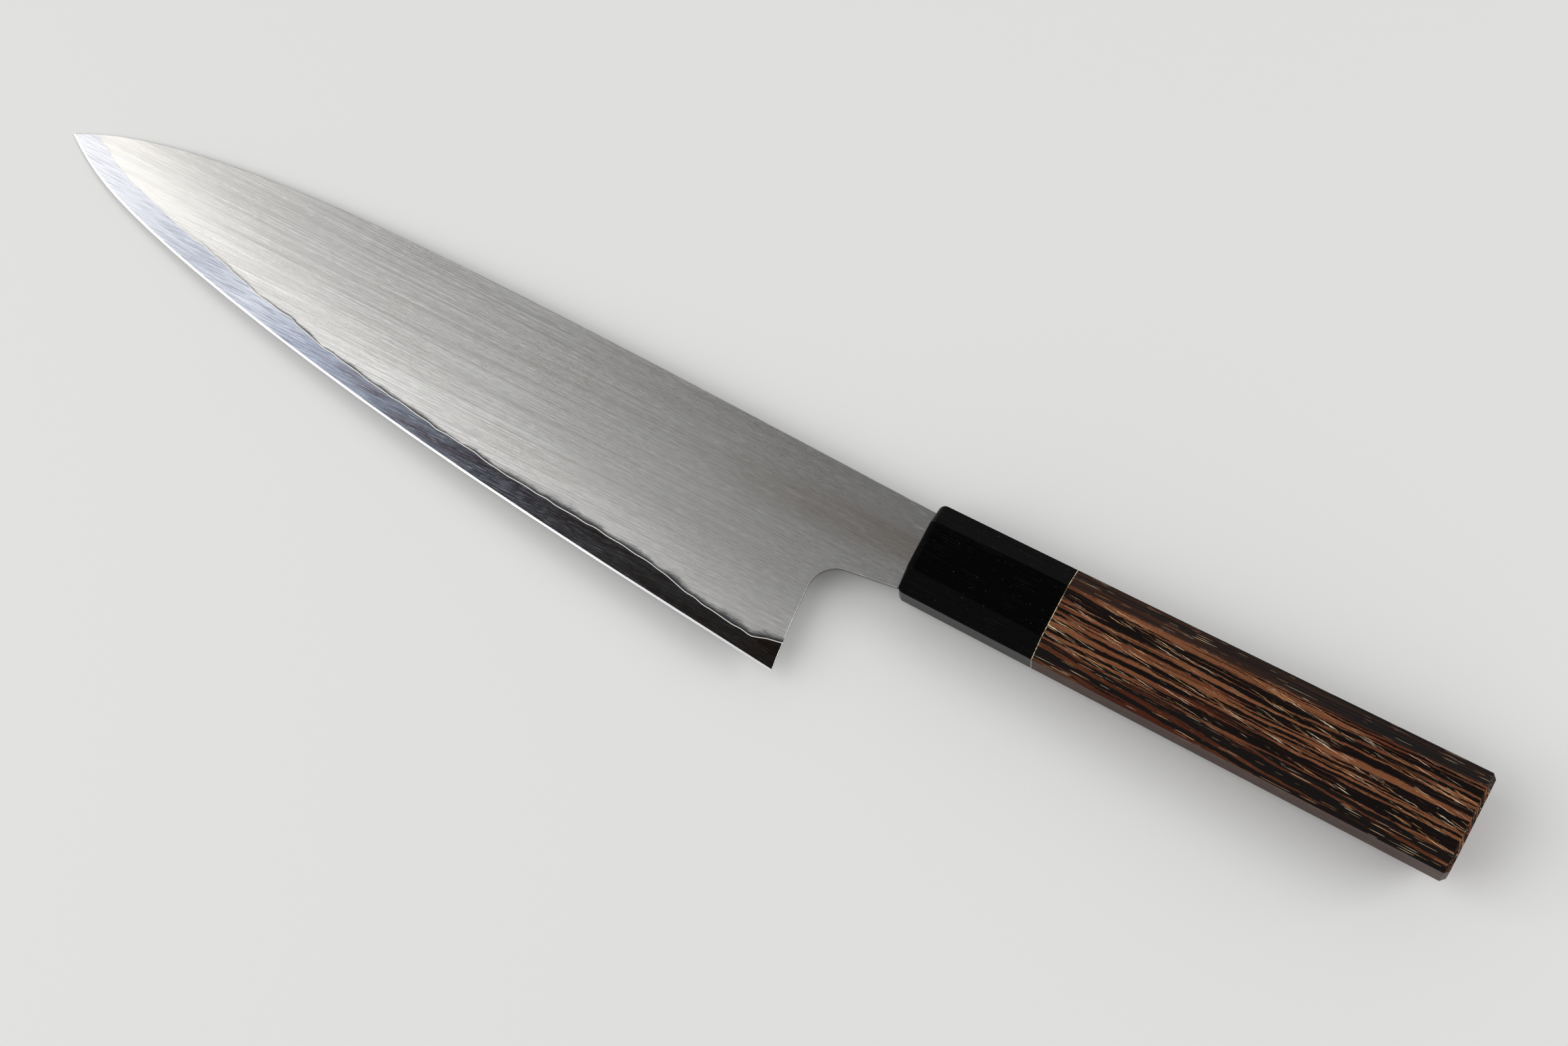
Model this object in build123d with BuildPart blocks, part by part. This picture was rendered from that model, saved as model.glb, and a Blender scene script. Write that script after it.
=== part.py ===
from build123d import *
import os
from math import sin, tan, radians, tau

# A wa-handled chef knife in millimetres, lying on its side. +X runs to the butt, +Y to the spine and
# +Z out of the blade's left face. The origin is the middle of the ferrule's front face.

# Blade outline, seen from the side
tip_reach = 199.0  # ferrule to tip
tip_drop = 1.9  # tip below the handle's axis
heel_gap = 15.15  # ferrule to heel, which is the length of the neck
heel_drop = 36.15  # heel below the handle's axis
spine_crown = 10.05  # highest point of the spine above the axis
neck_top = 8.4  # spine above the axis, at the ferrule
neck_drop = 9.0  # underside of the neck below the axis, at the ferrule
neck_slope = 8.0  # degrees that the underside falls away from the ferrule
choil_lean = 1.75  # how far the choil's wall leans back over the heel
choil_bow = 0.3  # and how far it bows out on the way
choil_radius = 6.2
shoulder_radius = 0.6  # lower corner of the neck, against the ferrule
spine_softness = 0.12  # round along the spine's two arrises
neck_softness = 0.12  # and along those of the neck and the choil
sharp_below = 0.34  # arrises this near to the middle plane stay sharp
# Points of the edge, as shares of the way from tip to heel and of the way down
edge_shape = [(0.034, 0.118), (0.145, 0.339), (0.349, 0.578), (0.625, 0.796)]
# Points of the spine, as shares of the way from tip to ferrule and of the way up to the crown
spine_shape = [(0.041, 0.300), (0.102, 0.575), (0.202, 0.822), (0.372, 0.980), (0.541, 1.0), (0.75, 0.955)]

# Blade section: a flat grind from the spine to a small honed bevel
spine_thickness = 2.9  # at the ferrule
tip_thickness = 0.9
bevel_height = 0.42
bevel_thickness = 0.34  # blade thickness at the top of the bevel
core_share = 0.34  # the part of the thickness at the spine that is core steel
section_places = [0, 0.05, 0.12, 0.22, 0.36, 0.52, 0.7, 0.86, 1]  # along the edge, from tip to heel

# Weld line between core and cladding: its height above the edge at equal steps from tip to heel
weld_heights = [
    4.8, 4.7, 4.5, 4.9, 4.8, 5.1, 4.9, 4.5, 4.8, 4.1, 4.2, 4.1, 4.3,
    4.2, 4.6, 4.3, 4.7, 4.9, 5.3, 5.4, 5.3, 4.3, 3.9, 3.9, 6.6,
]
weld_waves = [(0.09, 6.1, 0.0), (0.05, 3.7, 1.3)]  # hammer waves on it: height, length and phase
points_per_step = 4

# Tang, hidden in the handle
tang_length = 74.0
tang_height = 8.6
tang_end_height = 5.0
tang_end_thickness = 2.2

# Handle: an octagon that grows towards the butt
handle_length = 125.0
ferrule_length = 31.0
glue_thickness = 0.13
front_height = 20.2  # along Y, at the ferrule's front
butt_height = 22.9
front_width = 16.2  # along Z
butt_width = 17.0
front_corner_height = 4.7  # what a slanting facet takes off the height
butt_corner_height = 3.9
front_corner_width = 3.9  # and what it takes off the width
arris_radius = 1.5  # round of the ferrule's front
facet_radius = 0.25  # round between the facets
butt_chamfer = 1.0

# Inside the handle
dowel_diameter = 12.0
dowel_past_tang = 11.0  # solid wood between the tang's end and the dowel's
mouth_depth = 8.0  # solid front of the ferrule, ahead of the dowel
glue_gap = 0.05  # round the dowel
bedding_gap = 0.4  # above and below the tang
bedding_side = 0.15  # beside the tang's widest place
bedding_end = 1.5  # past the tang's end

margin = 6.0  # stock left past an outline, for the outline to trim
stock_top = spine_crown + margin

tip = Vector(-tip_reach, -tip_drop)
heel = Vector(-heel_gap, -heel_drop)
edge_points = [tip]
for along, down in edge_shape:
    edge_points.append(Vector(tip.X + along * (heel.X - tip.X), tip.Y + down * (heel.Y - tip.Y)))
edge_line = Spline(*edge_points, heel, mode=Mode.PRIVATE)


def edge_at(length):
    """A point of the edge by its length from the tip. Past either end, the edge runs straight on."""
    inside = min(max(length / edge_line.length, 0), 1)
    return edge_line @ inside + edge_line % inside * (length - inside * edge_line.length)


def edge_under(x):
    """The same for a place behind the heel, by its X."""
    return edge_at(edge_line.length + (x - heel.X) / (edge_line % 1).X)


def spine_half(x):
    """Half of the spine's thickness, which tapers both ways from the ferrule."""
    end, share = (tip_thickness, -x / tip_reach) if x < 0 else (tang_end_thickness, x / tang_length)
    return (spine_thickness + (end - spine_thickness) * share) / 2


sections = [edge_at(place * edge_line.length) for place in section_places]
sections = [edge_at(-margin)] + sections + [edge_under(0), edge_under(tang_length + margin)]

# Stock for the whole blade, ground to its wedge
with BuildPart() as wedge:
    for foot in sections:
        shoulder, half, top = foot.Y + bevel_height, bevel_thickness / 2, spine_half(foot.X)
        with BuildSketch(Plane.YZ.offset(foot.X)):
            with BuildLine():
                Polyline(
                    (foot.Y, 0),
                    (shoulder, half),
                    (stock_top, top),
                    (stock_top, -top),
                    (shoulder, -half),
                    close=True,
                )
            make_face()
    loft()

# Blade, neck and tang in one: the outline, cut from that stock
spine_points = [tip]
for along, up in spine_shape:
    spine_points.append((tip.X + along * tip_reach, tip.Y + up * (spine_crown - tip.Y)))
choil_corner = Vector(heel.X - choil_lean, -neck_drop - (heel_gap + choil_lean) * tan(radians(neck_slope)))
choil_middle = (choil_corner + heel) / 2 - (choil_bow, 0)
with BuildPart() as blade:
    with BuildSketch() as outline:
        with BuildLine():
            Spline(*spine_points, (0, neck_top))
            Polyline(
                (0, neck_top),
                (0, tang_height / 2),
                (tang_length, tang_end_height / 2),
                (tang_length, -tang_end_height / 2),
                (0, -tang_height / 2),
                (0, -neck_drop),
                choil_corner,
            )
            ThreePointArc(choil_corner, choil_middle, heel)
            Polyline(heel, heel - (0, margin), (tip.X - margin, heel.Y - margin), tip - (margin, margin), tip)
        make_face()
        fillet(outline.vertices().sort_by_distance(choil_corner)[0], choil_radius)
        fillet(outline.vertices().sort_by_distance((0, -neck_drop))[0], shoulder_radius)
    extrude(amount=spine_thickness, both=True)
    add(wedge.part, mode=Mode.INTERSECT)
    for up, softness in ((1, spine_softness), (-1, neck_softness)):
        arrises = [arris for arris in blade.edges() if abs(arris.center().Z) > sharp_below]
        fillet([arris for arris in arrises if arris.center().X < 0 < up * arris.center().Y], softness)


def weld_point(length):
    """A point of the weld line, by the length along the edge below it."""
    step = min(max(length / edge_line.length, 0), 1) * (len(weld_heights) - 1)
    low = min(int(step), len(weld_heights) - 2)
    height = weld_heights[low] + (weld_heights[low + 1] - weld_heights[low]) * (step - low)
    for size, spacing, phase in weld_waves:
        height += size * sin(tau * length / spacing + phase)
    ahead = edge_at(length + 0.1) - edge_at(length - 0.1)
    return edge_at(length) + Vector(-ahead.Y, ahead.X).normalized() * height


# Stock for the core: a thin wedge up the middle of the blade, and all that is below the weld line
weld_step = edge_line.length / (len(weld_heights) - 1) / points_per_step
weld_count = (len(weld_heights) - 1) * points_per_step
with BuildPart() as core_stock:
    for foot in sections:
        shoulder, half, top = foot.Y + bevel_height, bevel_thickness / 2, core_share * spine_half(foot.X)
        with BuildSketch(Plane.YZ.offset(foot.X)):
            with BuildLine():
                Polyline((shoulder, half), (stock_top, top), (stock_top, -top), (shoulder, -half), close=True)
            make_face()
    loft()
    with BuildSketch():
        with BuildLine():
            weld_line = Spline(*[weld_point(i * weld_step) for i in range(-1, weld_count + 3)])
            start, end = weld_line @ 0, weld_line @ 1
            far = tip - (margin, margin)
            below = heel.Y - margin
            Polyline(end, (end.X, below), (far.X, below), (far.X, start.Y), start)
        make_face()
    extrude(amount=spine_thickness, both=True)

with BuildPart() as core_steel:
    add(blade.part)
    add(core_stock.part, mode=Mode.INTERSECT)

claddings = {}
for side, kept in (("left", Keep.TOP), ("right", Keep.BOTTOM)):
    with BuildPart() as cladding:
        add(blade.part)
        add(core_stock.part, mode=Mode.SUBTRACT)
        split(bisect_by=Plane.XY, keep=kept)
    claddings[f"{side}_cladding"] = cladding

# Stock for the handle: a block cut back to eight flat facets
grow_y = (butt_height - front_height) / 2
grow_z = (butt_width - front_width) / 2
corner_grow = grow_z - (butt_corner_height - front_corner_height) * front_corner_width / front_corner_height
corner_lean = -(front_corner_width * grow_y + front_corner_height * corner_grow) / handle_length
facets = []
for up in (1, -1):
    facets.append(((0, up * front_height / 2, 0), (-grow_y / handle_length, up, 0)))
    facets.append(((0, 0, up * front_width / 2), (-grow_z / handle_length, 0, up)))
    for out in (1, -1):
        corner = (0, up * front_height / 2, out * (front_width / 2 - front_corner_width))
        facets.append((corner, (corner_lean, up * front_corner_width, out * front_corner_height)))
with BuildPart() as handle_stock:
    with BuildSketch(Plane.YZ):
        Rectangle(max(front_height, butt_height), max(front_width, butt_width))
    extrude(amount=handle_length)
    for place, outward in facets:
        split(bisect_by=Plane(place, z_dir=outward), keep=Keep.BOTTOM)
    chamfer(handle_stock.faces().sort_by(Axis.X)[-1].edges(), butt_chamfer)
    fillet(handle_stock.edges().filter_by_position(Axis.X, 0, handle_length, (False, False)), facet_radius)
    fillet(handle_stock.faces().sort_by(Axis.X)[0].edges(), arris_radius)

body_start = ferrule_length + glue_thickness
dowel_end = tang_length + dowel_past_tang
bore_radius = dowel_diameter / 2 + glue_gap
slot_height = tang_height + 2 * bedding_gap
slot_width = spine_thickness + 2 * bedding_side
slot_length = tang_length + bedding_end

with BuildPart() as horn_ferrule:
    add(handle_stock.part)
    split(bisect_by=Plane.YZ.offset(ferrule_length), keep=Keep.BOTTOM)
    with BuildSketch(Plane.YZ):
        Rectangle(slot_height, slot_width)
    extrude(amount=mouth_depth, mode=Mode.SUBTRACT)
    with BuildSketch(Plane.YZ.offset(mouth_depth)):
        Circle(bore_radius)
    extrude(amount=ferrule_length - mouth_depth, mode=Mode.SUBTRACT)

with BuildPart() as joint_glue:
    add(handle_stock.part)
    split(bisect_by=Plane.YZ.offset(ferrule_length), keep=Keep.TOP)
    split(bisect_by=Plane.YZ.offset(body_start), keep=Keep.BOTTOM)
    with BuildSketch(Plane.YZ.offset(ferrule_length)):
        Circle(bore_radius)
    extrude(amount=glue_thickness, mode=Mode.SUBTRACT)

with BuildPart() as handle_body:
    add(handle_stock.part)
    split(bisect_by=Plane.YZ.offset(body_start), keep=Keep.TOP)
    with BuildSketch(Plane.YZ.offset(body_start)):
        Circle(bore_radius)
    extrude(amount=dowel_end - body_start, mode=Mode.SUBTRACT)

with BuildPart() as handle_dowel:
    with BuildSketch(Plane.YZ.offset(mouth_depth)):
        Circle(dowel_diameter / 2)
    extrude(amount=dowel_end - mouth_depth)
    with BuildSketch(Plane.YZ.offset(mouth_depth)):
        Rectangle(slot_height, slot_width)
    extrude(amount=slot_length - mouth_depth, mode=Mode.SUBTRACT)

with BuildPart() as tang_bedding:
    with BuildSketch(Plane.YZ):
        Rectangle(slot_height, slot_width)
    extrude(amount=slot_length)
    add(blade.part, mode=Mode.SUBTRACT)

pieces = {
    "core_steel": core_steel,
    **claddings,
    "horn_ferrule": horn_ferrule,
    "joint_glue": joint_glue,
    "handle_body": handle_body,
    "handle_dowel": handle_dowel,
    "tang_bedding": tang_bedding,
}
os.makedirs("parts", exist_ok=True)
for name, piece in pieces.items():
    piece.part.label = name
    export_step(piece.part, f"parts/{name}.step")
    print(name, len(piece.solids()), "solid", round(piece.part.volume), "mm3")
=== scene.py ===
import bpy
from math import radians
from mathutils import Matrix, Vector


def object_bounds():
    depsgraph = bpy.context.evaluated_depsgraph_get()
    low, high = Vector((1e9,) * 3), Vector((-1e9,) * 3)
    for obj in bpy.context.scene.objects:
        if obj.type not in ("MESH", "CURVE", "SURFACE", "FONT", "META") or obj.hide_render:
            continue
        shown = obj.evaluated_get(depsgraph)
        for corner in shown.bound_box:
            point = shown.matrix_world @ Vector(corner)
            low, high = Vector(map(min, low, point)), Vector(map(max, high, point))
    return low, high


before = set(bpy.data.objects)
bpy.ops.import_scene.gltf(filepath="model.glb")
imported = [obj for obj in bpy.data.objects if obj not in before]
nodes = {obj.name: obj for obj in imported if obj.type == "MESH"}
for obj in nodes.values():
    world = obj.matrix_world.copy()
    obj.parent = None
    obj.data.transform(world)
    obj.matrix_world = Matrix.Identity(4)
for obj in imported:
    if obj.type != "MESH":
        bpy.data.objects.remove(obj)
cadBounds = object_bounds()
print("frame loaded:", ", ".join(sorted(nodes)))


# Short ways to build a node tree. A value that is a socket gets linked, anything else is set.
def feed(tree, socket, value):
    if isinstance(value, bpy.types.NodeSocket):
        tree.links.new(value, socket)
    else:
        socket.default_value = value


def addNode(tree, kind, inputs=None, **settings):
    node = tree.nodes.new(kind)
    for name, value in settings.items():
        setattr(node, name, value)
    for name, value in (inputs or {}).items():
        feed(tree, node.inputs[name], value)
    return node


def calc(tree, operation, *values):
    node = addNode(tree, "ShaderNodeMath", operation=operation)
    for socket, value in zip(node.inputs, values):
        feed(tree, socket, value)
    return node.outputs[0]


def times(tree, first, *others):
    product = first
    for other in others:
        product = calc(tree, "MULTIPLY", product, other)
    return product


# Runs from low to high while the value runs from start to stop, and stays there on either side
def ease(tree, value, start, stop, low=0.0, high=1.0, kind="SMOOTHSTEP"):
    span = {"Value": value, "From Min": start, "From Max": stop, "To Min": low, "To Max": high}
    return addNode(tree, "ShaderNodeMapRange", span, interpolation_type=kind, clamp=True).outputs[0]


# The inputs 0, 6 and 7 and the output 2 are the ones that a mix of two colours uses
def tint(tree, share, below, above, mode="MIX"):
    node = addNode(tree, "ShaderNodeMix", data_type="RGBA", blend_type=mode, clamp_factor=True)
    for index, value in ((0, share), (6, below), (7, above)):
        feed(tree, node.inputs[index], value)
    return node.outputs[2]


def split(tree, vector):
    return addNode(tree, "ShaderNodeSeparateXYZ", {0: vector}).outputs


def combine(tree, **parts):
    return addNode(tree, "ShaderNodeCombineXYZ", parts).outputs[0]


def vectorCalc(tree, operation, first, second):
    return addNode(tree, "ShaderNodeVectorMath", {0: first, 1: second}, operation=operation).outputs[0]


def coordinates(tree, kind):
    return addNode(tree, "ShaderNodeTexCoord").outputs[kind]


# Noise whose grains measure the given millimetres along X, Y and Z, turned about Z by some degrees
def grain(tree, place, size, turn=0, detail=2.0, roughness=0.5):
    rotation = {"Vector": place, "Rotation": (0, 0, radians(turn))}
    turned = addNode(tree, "ShaderNodeMapping", rotation).outputs[0]
    pieces = vectorCalc(tree, "DIVIDE", turned, size)
    values = {"Vector": pieces, "Scale": 1.0, "Detail": detail, "Roughness": roughness}
    return addNode(tree, "ShaderNodeTexNoise", values).outputs["Fac"]


# The same noise times the first number of the spread, with the second one added
def waver(tree, place, noise, spread):
    return calc(tree, "MULTIPLY_ADD", grain(tree, place, **noise), *spread)


def ramp(tree, value, stops):
    node = addNode(tree, "ShaderNodeValToRGB", {0: value})
    while len(node.color_ramp.elements) < len(stops):
        node.color_ramp.elements.new(0.5)
    for element, (position, color) in zip(node.color_ramp.elements, stops):
        element.position, element.color = position, (*color, 1)
    return node.outputs[0]


mmPerMetre = 1000


# Gives the material, its node tree and the place on the piece in millimetres
def newMaterial(name):
    material = bpy.data.materials.new(name)
    material.use_nodes = True
    tree = material.node_tree
    place = vectorCalc(tree, "MULTIPLY", coordinates(tree, "Object"), (mmPerMetre,) * 3)
    return material, tree, place


def setSurface(tree, values):
    surface = tree.nodes["Principled BSDF"]
    for name, value in values.items():
        feed(tree, surface.inputs[name], value)


def bump(tree, height, depth, strength=1.0):
    values = {"Height": height, "Distance": depth, "Strength": strength}
    setSurface(tree, {"Normal": addNode(tree, "ShaderNodeBump", values).outputs[0]})


def giveMaterial(material, *names):
    for name in names:
        nodes[name].data.materials.clear()
        nodes[name].data.materials.append(material)


# The place inside the handle, squeezed so that what runs along X follows the handle's taper
taperSetup = {"growY": 0.00107, "growZ": 0.000395}


def alongTaper(tree, place):
    x, y, z = split(tree, place)
    y = calc(tree, "DIVIDE", y, calc(tree, "MULTIPLY_ADD", x, taperSetup["growY"], 1.0))
    z = calc(tree, "DIVIDE", z, calc(tree, "MULTIPLY_ADD", x, taperSetup["growZ"], 1.0))
    return combine(tree, X=x, Y=y, Z=z)


# Weld line: where the cladding's lower rim runs, in millimetres, found with rays cast straight down
weldSetup = {
    "start": -198.0,
    "stop": -15.2,
    "steps": 255,
    "lowest": -40.0,
    "highest": 11.0,
    "scanStep": 0.5,
    "halvings": 9,
    "rise": 0.5,
    "rayHeight": 20,
}


def onCladding(x, y):
    source = Vector((x, y, weldSetup["rayHeight"])) / mmPerMetre
    return nodes["left_cladding"].ray_cast(source, Vector((0, 0, -1)))[0]


# A sudden rise from one place to the next isn't the weld line, so the height before it is kept
weldRim = []
for step in range(weldSetup["steps"] + 1):
    share = step / weldSetup["steps"]
    x = weldSetup["start"] + share * (weldSetup["stop"] - weldSetup["start"])
    above = weldSetup["lowest"]
    while above < weldSetup["highest"] and not onCladding(x, above):
        above += weldSetup["scanStep"]
    below = above - weldSetup["scanStep"]
    for _ in range(weldSetup["halvings"] if above < weldSetup["highest"] else 0):
        middle = (above + below) / 2
        above, below = (middle, below) if onCladding(x, middle) else (above, middle)
    if weldRim and above > weldRim[-1][1] + weldSetup["rise"]:
        above = weldRim[-1][1]
    weldRim.append((share, above))
print("weld line read at", len(weldRim), "places")


# Height above the weld line, in millimetres, negative below it
def aboveWeld(tree, place):
    x, y, _ = split(tree, place)
    share = ease(tree, x, weldSetup["start"], weldSetup["stop"], kind="LINEAR")
    node = addNode(tree, "ShaderNodeFloatCurve", {"Value": share})
    line = node.mapping.curves[0]
    span = weldSetup["highest"] - weldSetup["lowest"]
    for index, (position, height) in enumerate(weldRim):
        spot = (position, (height - weldSetup["lowest"]) / span)
        point = line.points[index] if index < 2 else line.points.new(*spot)
        point.location = spot
    for point in line.points:
        point.handle_type = "VECTOR"
    node.mapping.update()
    rim = calc(tree, "MULTIPLY_ADD", node.outputs[0], span, weldSetup["lowest"])
    return calc(tree, "SUBTRACT", y, rim)


# Fine bright scratches, each kind with its turn in degrees, its length and how rare it is
scratchSetup = {"thickness": 4.0, "softness": 0.05}


def scratches(tree, place, setup):
    marks = None
    for turn, length, rarity in setup["scratches"]:
        size = (length, setup["scratchWidth"], scratchSetup["thickness"])
        lines = grain(tree, place, size, turn, detail=0.0)
        drawn = ease(tree, lines, rarity, rarity + scratchSetup["softness"])
        marks = drawn if marks is None else calc(tree, "MAXIMUM", marks, drawn)
    return marks


# What the two steels of the blade share: metal but for the seam, brushed along the blade
def setSteel(tree, setup, color, seam, lines):
    setSurface(tree, {
        "Base Color": color,
        "Metallic": ease(tree, seam, 0.0, 1.0, 1.0, setup["seamMetal"]),
        "Roughness": ease(tree, lines, *setup["roughness"]),
        "Anisotropic": setup["anisotropy"],
        "Tangent": combine(tree, Y=1.0),
    })
    bump(tree, lines, *setup["bump"])


# In the settings of the materials, a range says where a value starts and stops, and then what comes out
# there if that isn't 0 and 1. Sizes are millimetres and turns degrees. A bump has its depth in metres,
# and then its strength.

# Cladding: satin iron, brushed along the blade, with a dark feathered haze over the weld line
claddingSetup = {
    "bright": (0.58, 0.575, 0.565, 1),
    "dull": (0.40, 0.395, 0.385, 1),
    "rust": (0.30, 0.24, 0.20, 1),
    "scratch": (0.95, 0.95, 0.94, 1),
    "tipPale": (0.51, 0.505, 0.495, 1),
    # The next three colours are painted shade towards the spine, painted light at the tip and a painted
    # highlight over the weld line
    "paintedSpineShade": (0.62, 0.62, 0.62, 1),
    "paintedTipLight": (1.32, 1.30, 1.27, 1),
    "paintedRimHighlight": (1.20, 1.20, 1.20, 1),
    "haze": (0.022, 0.026, 0.034, 1),
    "seam": (0.86, 0.83, 0.77, 1),
    "cut": (0.085, 0.062, 0.045, 1),
    "fine": {"size": (34.0, 0.15, 2.0), "detail": 1.0, "roughness": 0.6},
    "middling": {"size": (60, 0.30, 2.5), "turn": 0.3, "detail": 1.0},
    "coarse": {"size": (110, 0.9, 3.0), "turn": 0.5},
    "fineShare": 0.66,
    "middlingShare": 0.20,
    "coarseShare": 0.14,
    "brushedRange": (0.37, 0.63),
    "grit": {"size": (2.2, 0.12, 0.6), "turn": 0.4, "detail": 1.0},
    "gritRange": (0.3, 0.7, 0.86, 1.14),
    "speckle": {"size": (0.7, 0.22, 0.3), "detail": 3.0},
    "speckleRange": (0.52, 0.72, 0.0, 0.55),
    "clouds": {"size": (34, 11, 11), "detail": 3.0},
    "cloudRange": (0.40, 0.62),
    "patchSlope": -0.06,
    "patchWidth": (0.5, 6.5, 0.5, 0.0),
    "patchLength": (-62.0, -8.0),
    "patchStreaks": (0.25, 0.6, 0.45, 1.0),
    "tipPaleRange": (-190.0, -95.0, 0.6, 0.0),
    # The next three ranges place the painted shade, the painted light and the painted highlight
    "paintedSpineShadeRange": (3.0, 42.0),
    "paintedTipLightRange": (-195.0, -138.0, 1.0, 0.0),
    "paintedRimHighlightRange": (1.0, 15.0, 1.0, 0.0),
    "scratchShare": 0.3,
    "scratchWidth": 0.13,
    "scratches": [(1.5, 5.0, 0.76), (-3.0, 3.5, 0.78), (6.0, 7.0, 0.79)],
    "hazeFoot": 0.09,
    "hazeReach": {"size": (6.0, 40.0, 40.0)},
    "hazeReachSpread": (1.8, -0.20),
    "hazeReachAlong": (-120.0, -20.0, 1.0, 2.4),
    "feather": {"size": (1.3, 0.16, 0.3), "turn": -8, "detail": 3.0},
    "featherSpread": (1.6, 0.2),
    "hazeFade": (0.1, 1.1, 0.95, 0.0),
    "hazeAlong": (-180.0, -135.0),
    "seamRange": (0.09, 0.18, 1.0, 0.0),
    "cutSteepness": (0.4, 0.85, 0.92, 0.0),
    "cutFacing": (0.2, 0.4, 1.0, 0.0),
    "seamMetal": 0.25,
    "roughness": (0.3, 0.7, 0.35, 0.26),
    "anisotropy": 0.7,
    "bump": (0.00002, 0.15),
}
claddingMaterial, tree, place = newMaterial("satinCladding")
height = aboveWeld(tree, place)
x, y, _ = split(tree, place)
fine = grain(tree, place, **claddingSetup["fine"])
middling = grain(tree, place, **claddingSetup["middling"])
coarse = grain(tree, place, **claddingSetup["coarse"])
weighedFine = times(tree, fine, claddingSetup["fineShare"])
weighedMiddling = times(tree, middling, claddingSetup["middlingShare"])
brushed = calc(tree, "ADD", weighedFine, weighedMiddling)
brushed = calc(tree, "ADD", brushed, times(tree, coarse, claddingSetup["coarseShare"]))
lightness = ease(tree, brushed, *claddingSetup["brushedRange"])
color = tint(tree, lightness, claddingSetup["dull"], claddingSetup["bright"])
grit = ease(tree, grain(tree, place, **claddingSetup["grit"]), *claddingSetup["gritRange"], kind="LINEAR")
color = tint(tree, 1.0, color, combine(tree, X=grit, Y=grit, Z=grit), "MULTIPLY")
speckle = ease(tree, grain(tree, place, **claddingSetup["speckle"]), *claddingSetup["speckleRange"])
clouds = ease(tree, grain(tree, place, **claddingSetup["clouds"]), *claddingSetup["cloudRange"])
color = tint(tree, times(tree, speckle, clouds), color, claddingSetup["rust"])
# A brown-grey patch grows stronger towards the neck, along its middle line
middleLine = calc(tree, "ADD", y, times(tree, x, claddingSetup["patchSlope"]))
patchAcross = ease(tree, calc(tree, "ABSOLUTE", middleLine), *claddingSetup["patchWidth"])
patchAlong = ease(tree, x, *claddingSetup["patchLength"])
patchStreaks = ease(tree, coarse, *claddingSetup["patchStreaks"])
color = tint(tree, times(tree, patchAcross, patchAlong, patchStreaks), color, claddingSetup["rust"])
# Paler and plainer at the tip; painted shade darkens it towards the spine, and painted light and a painted
# highlight brighten it at the tip and over the weld line
color = tint(tree, ease(tree, x, *claddingSetup["tipPaleRange"]), color, claddingSetup["tipPale"])
# Painted shade: the colour darkens with height above the weld line, towards the spine
paintedShade = ease(tree, height, *claddingSetup["paintedSpineShadeRange"], kind="LINEAR")
color = tint(tree, paintedShade, color, claddingSetup["paintedSpineShade"], "MULTIPLY")
# Painted light: the colour is brightened towards the tip
paintedTipLightShare = ease(tree, x, *claddingSetup["paintedTipLightRange"])
color = tint(tree, paintedTipLightShare, color, claddingSetup["paintedTipLight"], "MULTIPLY")
# Painted highlight: the colour is brightened just above the weld line
paintedRimHighlightShare = ease(tree, height, *claddingSetup["paintedRimHighlightRange"])
color = tint(tree, paintedRimHighlightShare, color, claddingSetup["paintedRimHighlight"], "MULTIPLY")
marks = times(tree, scratches(tree, place, claddingSetup), claddingSetup["scratchShare"])
color = tint(tree, marks, color, claddingSetup["scratch"])
# The haze reaches higher towards the heel and fades out towards the tip
reach = waver(tree, place, claddingSetup["hazeReach"], claddingSetup["hazeReachSpread"])
reach = times(tree, reach, ease(tree, x, *claddingSetup["hazeReachAlong"]))
feather = waver(tree, place, claddingSetup["feather"], claddingSetup["featherSpread"])
hazeHeight = calc(tree, "SUBTRACT", height, claddingSetup["hazeFoot"])
hazeShare = calc(tree, "DIVIDE", hazeHeight, times(tree, reach, feather))
hazeShare = ease(tree, hazeShare, *claddingSetup["hazeFade"])
haze = times(tree, hazeShare, ease(tree, x, *claddingSetup["hazeAlong"]))
color = tint(tree, haze, color, claddingSetup["haze"])
seam = ease(tree, height, *claddingSetup["seamRange"])
color = tint(tree, seam, color, claddingSetup["seam"])
# The cut walls of choil and neck have gone brown, but not the wall of the spine
facing = split(tree, coordinates(tree, "Normal"))
steep = ease(tree, calc(tree, "ABSOLUTE", facing[2]), *claddingSetup["cutSteepness"])
wall = times(tree, steep, ease(tree, facing[1], *claddingSetup["cutFacing"]))
color = tint(tree, wall, color, claddingSetup["cut"])
setSteel(tree, claddingSetup, color, seam, brushed)
giveMaterial(claddingMaterial, "left_cladding", "right_cladding")
print("cladding finished")
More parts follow.
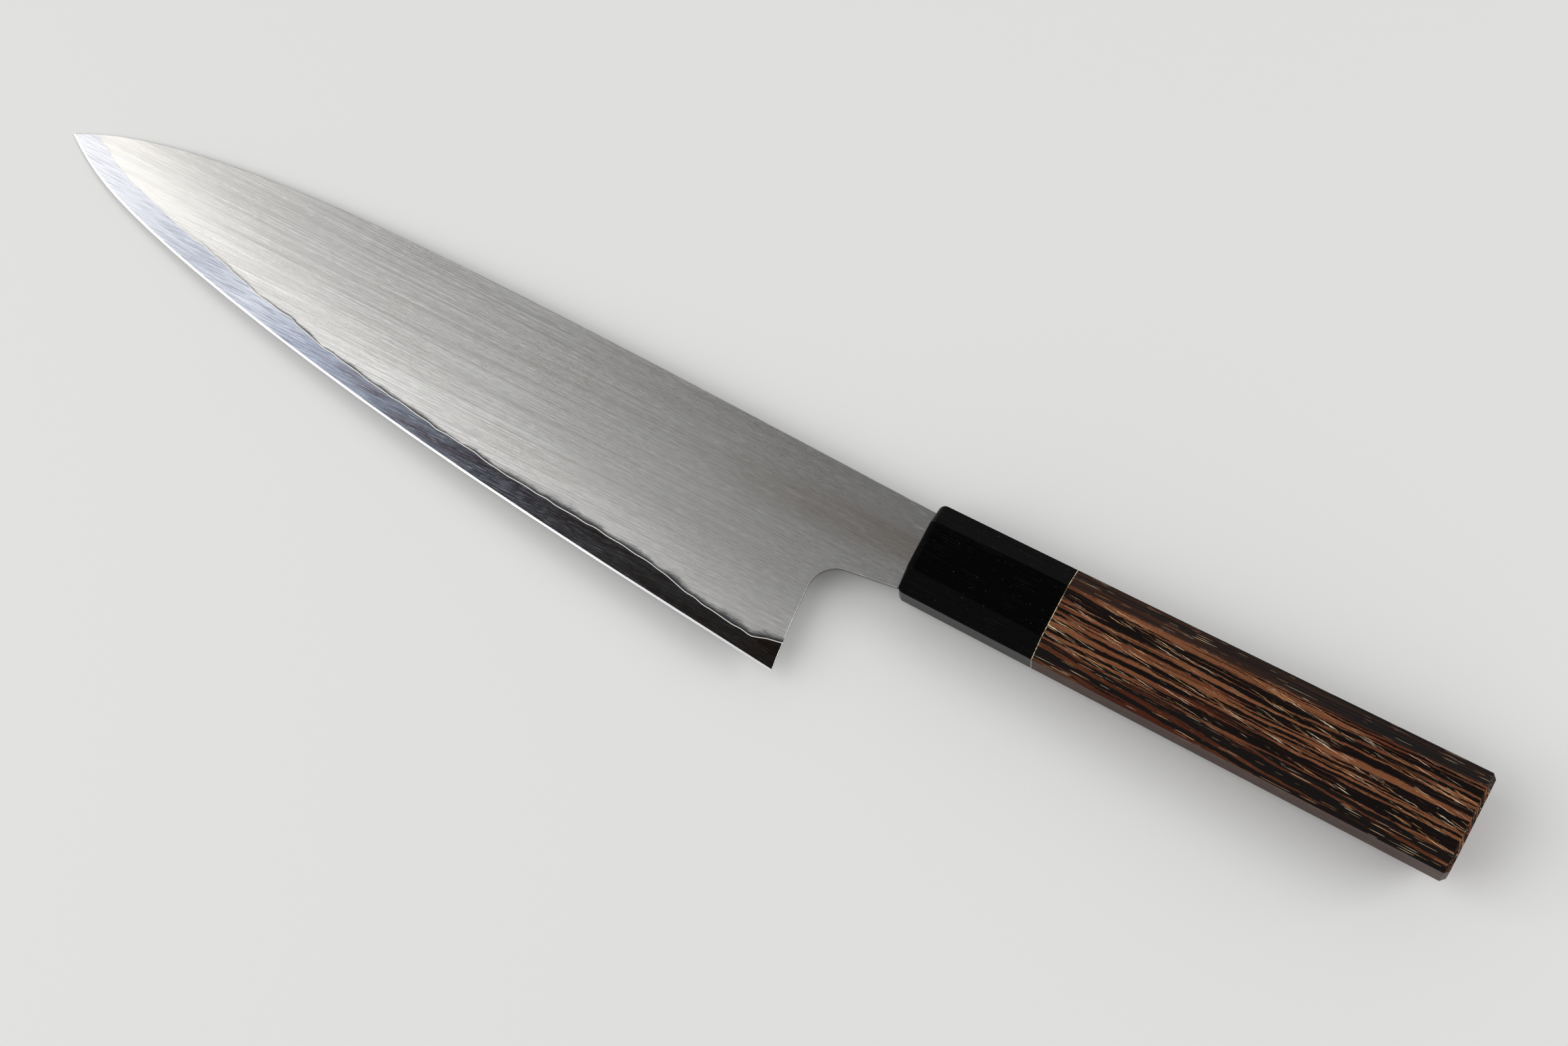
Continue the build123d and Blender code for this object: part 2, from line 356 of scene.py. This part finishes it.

# Core: hard steel polished nearly bright, with a painted reflection that is silver at the tip and dark
# towards the heel
coreSetup = {
    # Painted reflection: the colour runs from bright silver at the tip to near black at the heel
    "along": [
        (0.0, (0.72, 0.72, 0.75)),
        (0.10, (0.56, 0.57, 0.61)),
        (0.20, (0.36, 0.38, 0.43)),
        (0.27, (0.44, 0.46, 0.51)),
        (0.38, (0.27, 0.30, 0.37)),
        (0.50, (0.135, 0.150, 0.185)),
        (0.60, (0.070, 0.074, 0.090)),
        (0.72, (0.051, 0.050, 0.052)),
        (0.90, (0.048, 0.046, 0.044)),
        (1.0, (0.036, 0.029, 0.024)),
    ],
    "alongRange": (-199.0, -15.0),
    "slate": (0.30, 0.34, 0.42, 1),
    "pale": (0.64, 0.68, 0.75, 1),
    "plum": (0.75, 0.58, 0.56, 1),
    "fleck": (0.050, 0.030, 0.020, 1),
    "bevel": (0.62, 0.62, 0.63, 1),
    "seam": (0.86, 0.83, 0.77, 1),
    "streaks": {"size": (7.0, 0.12, 1.2), "turn": 1.0, "detail": 3.0, "roughness": 0.65},
    "patches": {"size": (14.0, 2.2, 2.2)},
    "dashRange": (0.50, 0.64),
    "dashAlong": (0.08, 0.35, 0.4, 0.85),
    "plumRange": (0.45, 0.65, 0.0, 0.8),
    "plumAlong": (0.25, 0.5),
    "glintRange": (0.44, 0.34, 0.0, 0.75),
    "glintPatches": (0.60, 0.40, 0.35, 1.0),
    "glintShares": [(0.0, 0.3), (0.55, 0.28), (0.85, 0.11), (1.0, 0.06)],
    "scratchAlong": (0.55, 0.9, 0.32, 0.10),
    "scratchWidth": 0.10,
    "scratches": [(0.8, 4.0, 0.70), (-2.5, 3.0, 0.72), (3.0, 6.0, 0.72)],
    "flecks": {"size": (1.6, 0.8, 0.8), "turn": 20, "detail": 3.0},
    "fleckRange": (0.52, 0.66),
    "fleckAlong": (-38.0, -20.0, 0.0, 0.6),
    "bevelSteepness": (0.975, 0.985, 1.0, 0.0),
    "wallSteepness": (0.5, 0.8),
    "seamRange": (-0.042, -0.018),
    "seamTop": (0.3, 0.6, 1.0, 0.0),
    "seamMetal": 0.25,
    "roughness": (0.35, 0.65, 0.17, 0.25),
    "anisotropy": 0.6,
    "bump": (0.00001, 0.3),
}
coreMaterial, tree, place = newMaterial("polishedCore")
height = aboveWeld(tree, place)
x = split(tree, place)[0]
along = ease(tree, x, *coreSetup["alongRange"], kind="LINEAR")
# The painted reflection along the blade
color = ramp(tree, along, coreSetup["along"])
streaks = grain(tree, place, **coreSetup["streaks"])
patches = grain(tree, place, **coreSetup["patches"])
dashes = times(tree, ease(tree, streaks, *coreSetup["dashRange"]), ease(tree, along, *coreSetup["dashAlong"]))
color = tint(tree, dashes, color, coreSetup["slate"], "MULTIPLY")
plum = times(tree, ease(tree, patches, *coreSetup["plumRange"]), ease(tree, along, *coreSetup["plumAlong"]))
color = tint(tree, plum, color, coreSetup["plum"], "MULTIPLY")
glints = ease(tree, streaks, *coreSetup["glintRange"])
glints = times(tree, glints, ease(tree, patches, *coreSetup["glintPatches"]))
glintStops = [(position, (share,) * 3) for position, share in coreSetup["glintShares"]]
glints = times(tree, glints, ramp(tree, along, glintStops))
color = tint(tree, glints, color, coreSetup["pale"])
marks = times(tree, scratches(tree, place, coreSetup), ease(tree, along, *coreSetup["scratchAlong"]))
color = tint(tree, marks, color, coreSetup["pale"])
flecks = ease(tree, grain(tree, place, **coreSetup["flecks"]), *coreSetup["fleckRange"])
flecks = times(tree, flecks, ease(tree, x, *coreSetup["fleckAlong"]))
color = tint(tree, flecks, color, coreSetup["fleck"])
# The honed bevel is steeper than the blade's faces and less steep than its cut walls
slope = calc(tree, "ABSOLUTE", split(tree, coordinates(tree, "Normal"))[2])
onBevel = ease(tree, slope, *coreSetup["bevelSteepness"])
onBevel = times(tree, onBevel, ease(tree, slope, *coreSetup["wallSteepness"]))
color = tint(tree, onBevel, color, coreSetup["bevel"])
seam = ease(tree, height, *coreSetup["seamRange"])
seam = times(tree, seam, ease(tree, height, *coreSetup["seamTop"]))
color = tint(tree, seam, color, coreSetup["seam"])
setSteel(tree, coreSetup, color, seam, streaks)
giveMaterial(coreMaterial, "core_steel")
print("core finished")

# Ferrule: polished black horn with faint fibres, specks and hand-rubbed scratches
hornSetup = {
    "black": (0.0012, 0.0012, 0.0013, 1),
    "fibre": (0.0020, 0.0019, 0.0019, 1),
    "speck": (0.06, 0.06, 0.06, 1),
    "fibres": {"size": (14.0, 0.35, 0.35), "turn": 1.5, "detail": 3.0},
    "fibreRange": (0.45, 0.72),
    "specks": {"size": (0.28, 0.28, 0.28), "detail": 0.0},
    "speckRange": (0.80, 0.86),
    "scratchShare": 0.12,
    "scratchWidth": 0.12,
    "scratches": [(1.0, 9.0, 0.75), (-5.0, 4.0, 0.78)],
    "roughness": (0.3, 0.7, 0.22, 0.26),
    "shine": 0.03,
    "bump": (0.00001, 0.08),
}
hornMaterial, tree, place = newMaterial("blackHorn")
place = alongTaper(tree, place)
fibres = grain(tree, place, **hornSetup["fibres"])
color = tint(tree, ease(tree, fibres, *hornSetup["fibreRange"]), hornSetup["black"], hornSetup["fibre"])
specks = ease(tree, grain(tree, place, **hornSetup["specks"]), *hornSetup["speckRange"])
color = tint(tree, specks, color, hornSetup["speck"])
marks = scratches(tree, place, hornSetup)
color = tint(tree, times(tree, marks, hornSetup["scratchShare"]), color, hornSetup["speck"])
setSurface(tree, {
    "Base Color": color,
    "Roughness": ease(tree, fibres, *hornSetup["roughness"]),
    "Specular IOR Level": hornSetup["shine"],
})
bump(tree, calc(tree, "ADD", fibres, marks), *hornSetup["bump"])
giveMaterial(hornMaterial, "horn_ferrule")
print("horn finished")

# Handle: lacquered wenge. Its growth layers lean to the edge side, so they cut the top facet slantwise
# and wide and the spine-side facets nearly square and fine. Its open vessels catch the light, and that
# glint is painted into their colour as bright gold. On the broad facet they run a few degrees steeper than
# the layers.
wengeSetup = {
    "brown": (0.150, 0.052, 0.021, 1),
    "tan": (0.23, 0.092, 0.042, 1),
    "red": (0.115, 0.030, 0.012, 1),
    "dark": (0.0055, 0.0035, 0.003, 1),
    # Painted glint in the vessels, from pale gold to orange
    "paintedVesselGlint": (1.0, 0.86, 0.62, 1),
    "paintedEmberGlint": (0.90, 0.46, 0.17, 1),
    # Painted shade for the side facets, on the spine side and on the edge side
    "paintedSpineShade": (0.20, 0.17, 0.16, 1),
    "paintedEdgeShade": (0.52, 0.42, 0.38, 1),
    "lean": -22.0,
    "turn": 0.4,
    "sway": {"size": (60, 12, 12), "detail": 1.0},
    "swaySpread": (0.9, -0.45),
    "ripple": {"size": (6.0, 2.0, 2.0), "detail": 3.0},
    "rippleSpread": (0.34, -0.17),
    "fray": {"size": (0.9, 0.22, 0.22)},
    "fraySpread": (0.10, -0.05),
    "bands": {"size": (70.0, 14.0, 0.2592), "roughness": 0.45},
    "bandRange": (0.502, 0.528),
    "fine": {"size": (20.0, 6.0, 0.10), "detail": 1.0},
    "fineOnBrown": (0.53, 0.73, 0.0, 0.7),
    "fineOnDark": (0.60, 0.80, 0.0, 0.5),
    "stipple": {"size": (0.20, 0.10, 0.10), "detail": 1.0},
    "stippleRange": (0.35, 0.7),
    "blush": {"size": (30.0, 5.0, 1.4)},
    "blushRange": (0.45, 0.65),
    "facetHalf": 5.4,
    "facetGrowth": 0.0172,
    "arrisRange": (-0.3, 0.5),
    "spineSideRange": (-1.0, 1.0),
    "crinkle": {"size": (1.3, 0.6, 0.6)},
    "crinkleSpread": (0.36, -0.18),
    "slantwise": {"size": (9.5, 0.095, 0.3), "turn": 6.0, "detail": 1.0},
    "slantwiseRange": (0.650, 0.664),
    "lengthwise": {"size": (7.0, 0.10, 0.10), "detail": 0.0},
    "lengthwiseRange": (0.770, 0.790, 0.0, 0.75),
    "vesselZone": {"size": (18.0, 0.9, 1.2), "turn": 5.0, "detail": 1.0},
    "vesselZoneRange": (0.50, 0.56),
    "glow": {"size": (6.0, 1.0, 1.0), "turn": 6.5, "detail": 1.0},
    "glowRange": (0.42, 0.58),
    "roughness": (0.45, 0.55, 0.36, 0.46),
    "shine": 0.08,
    "fineBump": 0.3,
    "bump": (0.00004, 0.4),
}
wengeMaterial, tree, place = newMaterial("wenge")
rotation = {"Vector": place, "Rotation": (radians(wengeSetup["lean"]), 0, radians(wengeSetup["turn"]))}
leaned = addNode(tree, "ShaderNodeMapping", rotation).outputs[0]
sway = waver(tree, place, wengeSetup["sway"], wengeSetup["swaySpread"])
ripple = waver(tree, place, wengeSetup["ripple"], wengeSetup["rippleSpread"])
fray = waver(tree, place, wengeSetup["fray"], wengeSetup["fraySpread"])
shift = calc(tree, "ADD", calc(tree, "ADD", sway, ripple), fray)
along, across, layer = split(tree, leaned)
swayed = combine(tree, X=along, Y=across, Z=calc(tree, "ADD", layer, shift))
bands = grain(tree, swayed, **wengeSetup["bands"])
fine = grain(tree, swayed, **wengeSetup["fine"])
stipple = ease(tree, grain(tree, place, **wengeSetup["stipple"]), *wengeSetup["stippleRange"])
blush = ease(tree, grain(tree, swayed, **wengeSetup["blush"]), *wengeSetup["blushRange"])
brown = tint(tree, stipple, wengeSetup["brown"], wengeSetup["tan"])
brown = tint(tree, blush, brown, wengeSetup["red"])
brown = tint(tree, ease(tree, fine, *wengeSetup["fineOnBrown"]), brown, wengeSetup["dark"])
dark = tint(tree, ease(tree, fine, *wengeSetup["fineOnDark"]), wengeSetup["dark"], wengeSetup["red"])
color = tint(tree, ease(tree, bands, *wengeSetup["bandRange"]), dark, brown)
# Past the arrises of the broad facet the side facets get painted shade, deepest on the spine side, and the
# vessels run along the handle
length, sideways, _ = split(tree, place)
arris = calc(tree, "MULTIPLY_ADD", length, wengeSetup["facetGrowth"], wengeSetup["facetHalf"])
outward = calc(tree, "SUBTRACT", calc(tree, "ABSOLUTE", sideways), arris)
pastArris = ease(tree, outward, *wengeSetup["arrisRange"])
onSpineSide = ease(tree, sideways, *wengeSetup["spineSideRange"])
# Painted shade: the side facets darken, most on the spine side
paintedShade = tint(tree, onSpineSide, wengeSetup["paintedEdgeShade"], wengeSetup["paintedSpineShade"])
color = tint(tree, pastArris, color, paintedShade, "MULTIPLY")
straight = alongTaper(tree, place)
crinkle = waver(tree, place, wengeSetup["crinkle"], wengeSetup["crinkleSpread"])
crinkled = vectorCalc(tree, "ADD", straight, combine(tree, Y=crinkle))
slantwise = ease(tree, grain(tree, crinkled, **wengeSetup["slantwise"]), *wengeSetup["slantwiseRange"])
lengthwise = ease(tree, grain(tree, straight, **wengeSetup["lengthwise"]), *wengeSetup["lengthwiseRange"])
vesselZone = ease(tree, grain(tree, place, **wengeSetup["vesselZone"]), *wengeSetup["vesselZoneRange"])
slantwise = times(tree, slantwise, vesselZone, calc(tree, "SUBTRACT", 1.0, pastArris))
vessels = calc(tree, "ADD", slantwise, times(tree, lengthwise, pastArris))
glow = ease(tree, grain(tree, place, **wengeSetup["glow"]), *wengeSetup["glowRange"])
# The vessels get a painted glint in bright gold
color = tint(tree, vessels, color, tint(tree, glow, wengeSetup["paintedVesselGlint"], wengeSetup["paintedEmberGlint"]))
setSurface(tree, {
    "Base Color": color,
    "Roughness": ease(tree, bands, *wengeSetup["roughness"]),
    "Specular IOR Level": wengeSetup["shine"],
})
relief = calc(tree, "ADD", times(tree, vessels, -1.0), times(tree, fine, wengeSetup["fineBump"]))
bump(tree, relief, *wengeSetup["bump"])
giveMaterial(wengeMaterial, "handle_body")
print("wenge finished")

# Glue line, dowel and bedding: each a mix of two colours over one noise
glueSetup = {
    "dark": (0.13, 0.085, 0.05, 1),
    "pale": (0.66, 0.56, 0.38, 1),
    "mottle": {"size": (0.8, 0.8, 0.8)},
    "mottleRange": (0.42, 0.52),
    "roughness": 0.45,
}
glueMaterial, tree, place = newMaterial("jointGlue")
mottle = grain(tree, place, **glueSetup["mottle"])
color = tint(tree, ease(tree, mottle, *glueSetup["mottleRange"]), glueSetup["dark"], glueSetup["pale"])
setSurface(tree, {"Base Color": color, "Roughness": glueSetup["roughness"]})
giveMaterial(glueMaterial, "joint_glue")

dowelSetup = {
    "pale": (0.66, 0.50, 0.30, 1),
    "ring": (0.46, 0.31, 0.16, 1),
    "rings": {"size": (60.0, 0.7, 4.0), "detail": 3.0},
    "ringRange": (0.4, 0.65),
    "roughness": 0.6,
    "bumpDepth": 0.00003,
}
dowelMaterial, tree, place = newMaterial("dowelWood")
rings = grain(tree, place, **dowelSetup["rings"])
color = tint(tree, ease(tree, rings, *dowelSetup["ringRange"]), dowelSetup["pale"], dowelSetup["ring"])
setSurface(tree, {"Base Color": color, "Roughness": dowelSetup["roughness"]})
bump(tree, rings, dowelSetup["bumpDepth"])
giveMaterial(dowelMaterial, "handle_dowel")

beddingSetup = {
    "dark": (0.035, 0.030, 0.026, 1),
    "pale": (0.08, 0.07, 0.06, 1),
    "mottle": {"size": (1.5, 1.5, 1.5), "detail": 3.0},
    "mottleRange": (0.4, 0.7),
    "roughness": 0.4,
    "bumpDepth": 0.00002,
}
beddingMaterial, tree, place = newMaterial("setResin")
mottle = grain(tree, place, **beddingSetup["mottle"])
mottleShare = ease(tree, mottle, *beddingSetup["mottleRange"])
color = tint(tree, mottleShare, beddingSetup["dark"], beddingSetup["pale"])
setSurface(tree, {"Base Color": color, "Roughness": beddingSetup["roughness"]})
bump(tree, mottle, beddingSetup["bumpDepth"])
giveMaterial(beddingMaterial, "tang_bedding")
print("glue, dowel and bedding finished")

# Floor: the plane that the knife rests on, under its tip and the ferrule's lower front arris, in metres
floorSetup = {
    "reach": 4.0,
    "tipZone": 0.003,
    "pastTip": 0.05,
    "hair": 0.00002,
    "color": (0.80, 0.80, 0.79, 1),
    "roughness": 0.6,
}
points = [corner.co.copy() for node in nodes.values() for corner in node.data.vertices]
tipPoints = [point for point in points if point.x < cadBounds[0][0] + floorSetup["tipZone"]]
tipPoint = min(tipPoints, key=lambda point: point.z)
farPoints = [point for point in points if point.x > tipPoint.x + floorSetup["pastTip"]]
fall = min((point.z - tipPoint.z) / (point.x - tipPoint.x) for point in farPoints)
level = min(point.z - fall * point.x for point in points) - floorSetup["hair"]
reach = floorSetup["reach"]
outline = ((-reach, -reach), (reach, -reach), (reach, reach), (-reach, reach))
corners = [(x, y, level + fall * x) for x, y in outline]
floorMesh = bpy.data.meshes.new("floor")
floorMesh.from_pydata(corners, [], [(0, 1, 2, 3)])
floor = bpy.data.objects.new("floor", floorMesh)
bpy.context.scene.collection.objects.link(floor)
floorMaterial, tree, _ = newMaterial("floorPaper")
setSurface(tree, {"Base Color": floorSetup["color"], "Roughness": floorSetup["roughness"]})
floorMesh.materials.append(floorMaterial)
print("floor laid, fall", round(fall, 4), "level", round(level, 5))

# Camera: almost overhead, the knife lying slantwise across the view. Lens and sensor are millimetres,
# the other lengths metres, and lean, turn and tilt degrees.
cameraSetup = {
    "lens": 114.85,
    "sensor": 36.0,
    "distance": 1.0239,
    "lean": 11.44,
    "turn": 27.79,
    "tilt": 2.65,
    "aside": (0.02895, -0.00649),
    "pivot": (0.0015, 0, 0),
}
toCamera = (
    Matrix.Translation((0, 0, -cameraSetup["distance"]))
    @ Matrix.Rotation(-radians(cameraSetup["lean"]), 4, "X")
    @ Matrix.Translation((*cameraSetup["aside"], 0))
    @ Matrix.Rotation(-radians(cameraSetup["turn"]), 4, "Z")
    @ Matrix.Rotation(-radians(cameraSetup["tilt"]), 4, "Y")
    @ Matrix.Translation(-Vector(cameraSetup["pivot"]))
)
cameraData = bpy.data.cameras.new("camera")
cameraData.lens, cameraData.sensor_width = cameraSetup["lens"], cameraSetup["sensor"]
camera = bpy.data.objects.new("camera", cameraData)
camera.matrix_world = toCamera.inverted()
bpy.context.scene.collection.objects.link(camera)
bpy.context.scene.camera = camera

# Light: a large softbox from beyond the tip and a smaller fill from beyond the butt, in metres and watts
lampSetup = {
    "softbox": {"place": (-0.66, -0.37, 1.0), "size": (1.0, 1.2), "power": 7.4, "target": (-0.03, 0, 0)},
    "fill": {"place": (1.1, 0.5, 0.8), "size": (0.8, 0.8), "power": 8.0, "target": (0.0, 0, 0)},
}
for name, lamp in lampSetup.items():
    lampData = bpy.data.lights.new(name, "AREA")
    lampData.shape = "RECTANGLE"
    lampData.size, lampData.size_y = lamp["size"]
    lampData.energy = lamp["power"]
    lampObject = bpy.data.objects.new(name, lampData)
    lampObject.location = lamp["place"]
    aim = Vector(lamp["target"]) - Vector(lamp["place"])
    lampObject.rotation_euler = aim.to_track_quat("-Z", "Y").to_euler()
    bpy.context.scene.collection.objects.link(lampObject)

# The room is white to the camera, dimmer as a light, and where it is mirrored it darkens overhead
worldSetup = {"ambient": 0.42, "overheadRange": (0.55, 0.95, 1.0, 0.14)}
world = bpy.data.worlds.new("room")
world.use_nodes = True
tree = world.node_tree
path = addNode(tree, "ShaderNodeLightPath")
upward = split(tree, coordinates(tree, "Generated"))[2]
inGloss = ease(tree, upward, *worldSetup["overheadRange"])
shown = calc(tree, "MAXIMUM", path.outputs["Is Camera Ray"], path.outputs["Is Transmission Ray"])
glossShare = times(tree, path.outputs["Is Glossy Ray"], inGloss)
notGlossy = calc(tree, "SUBTRACT", 1.0, path.outputs["Is Glossy Ray"])
ambientShare = times(tree, notGlossy, worldSetup["ambient"])
strength = calc(tree, "MAXIMUM", shown, calc(tree, "ADD", glossShare, ambientShare))
feed(tree, tree.nodes["Background"].inputs["Color"], (1, 1, 1, 1))
feed(tree, tree.nodes["Background"].inputs["Strength"], strength)
bpy.context.scene.world = world
bpy.context.scene.view_settings.view_transform = "Standard"
print("camera and lights placed")
